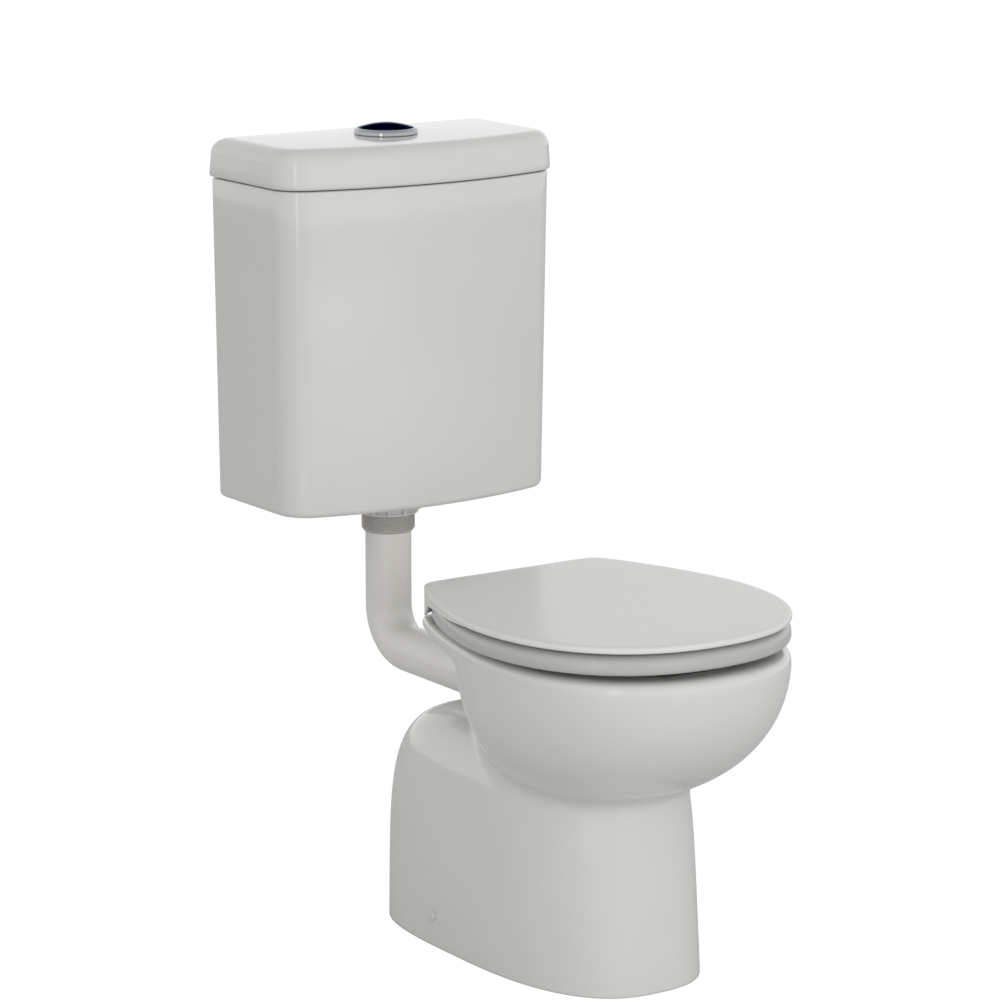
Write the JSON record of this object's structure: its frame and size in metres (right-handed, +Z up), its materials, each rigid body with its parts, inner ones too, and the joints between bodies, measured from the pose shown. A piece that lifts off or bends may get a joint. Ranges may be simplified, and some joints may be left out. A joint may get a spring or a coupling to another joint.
{
  "type": "toilet suite",
  "caption": "Wall-hung china cistern with a push-button lid, an exposed flush elbow, and a skirted pan with a hinged seat ring and lid.",
  "frame": {"origin": "on the floor, at the middle of the suite's bounding box: the wall plane is at y = +0.3635 m and the bowl's front at y = -0.3635 m", "axes": "+Z up, -Y towards the user in front of the bowl, +X to the right when seen from the front"},
  "size_m": [0.3632, 0.727, 0.8689],
  "materials": {
    "china": "white vitreous china with a clear gloss glaze",
    "seat_plastic": "white moulded thermoset, polished",
    "buffer_plastic": "soft white",
    "pipe_plastic": "white, satin",
    "white_plastic": "white, moulded",
    "grey_plastic": "mid grey, moulded",
    "float_plastic": "pale blue-grey, moulded",
    "rubber": "black, matte",
    "chrome": "bright plated",
    "steel": "zinc plated"
  },
  "bodies": {
    "root": {"pan": "china", "pan_side_screws": "steel", "pan_screw_caps": "white_plastic", "floor_brackets": "white_plastic", "flush_cone": "rubber", "flush_pipe": "pipe_plastic", "cistern_tank": "china", "flush_valve_base": "grey_plastic", "tank_outlet_seal": "rubber", "outlet_backnut": "grey_plastic", "flush_valve_tower": "white_plastic", "fill_valve_column": "white_plastic", "fill_valve_head": "grey_plastic", "inlet_seal": "rubber", "inlet_backnut": "white_plastic", "hinge_posts": "seat_plastic", "hinge_pins": "steel", "hinge_bolts": "steel", "hinge_washers": "rubber", "hinge_wing_nuts": "white_plastic"},
    "flush_lift": {"lift_tube": "white_plastic", "lift_float": "float_plastic", "valve_seal": "rubber"},
    "fill_float": {"fill_float": "float_plastic"},
    "cistern_lid": {"cistern_lid": "china", "button_bezel": "chrome", "button_locknut": "grey_plastic"},
    "full_button": {"full_flush_button": "chrome", "full_push_rod": "white_plastic", "full_button_spring": "steel"},
    "half_button": {"half_flush_button": "chrome", "half_push_rod": "white_plastic", "half_button_spring": "steel"},
    "seat_ring": {"seat_ring": "seat_plastic", "ring_buffers": "buffer_plastic"},
    "seat_lid": {"seat_lid": "seat_plastic", "lid_buffers": "buffer_plastic"}
  },
  "joints": [
    {"name": "ring_hinge", "type": "hinge", "parent": "root", "child": "seat_ring", "pos_m": [0, 0.0263, 0.379], "axis": [-1, 0, 0], "range_deg": [0, 97]},
    {"name": "lid_hinge", "type": "hinge", "parent": "seat_ring", "child": "seat_lid", "pos_m": [0, 0.0263, 0.379], "axis": [1, 0, 0], "range_deg": [-98, 0]},
    {"name": "cistern_lid_lift", "type": "slide", "parent": "root", "child": "cistern_lid", "axis": [0, 0, 1], "range_m": [0, 0.15]},
    {"name": "full_press", "type": "slide", "parent": "cistern_lid", "child": "full_button", "axis": [0, 0, -1], "range_m": [0, 0.004], "stiffness_N_per_m": 400, "springref_m": -0.003, "deforming": ["full_button_spring"]},
    {"name": "half_press", "type": "slide", "parent": "cistern_lid", "child": "half_button", "axis": [0, 0, -1], "range_m": [0, 0.004], "stiffness_N_per_m": 400, "springref_m": -0.003, "deforming": ["half_button_spring"]},
    {"name": "flush_valve_lift", "type": "slide", "parent": "root", "child": "flush_lift", "axis": [0, 0, 1], "range_m": [0, 0.024]},
    {"name": "float_rise", "type": "slide", "parent": "root", "child": "fill_float", "axis": [0, 0, 1], "range_m": [0, 0.11]}
  ],
  "couplings": [
    {"joint": "flush_valve_lift", "follows": "full_press", "ratio": 6}
  ]
}
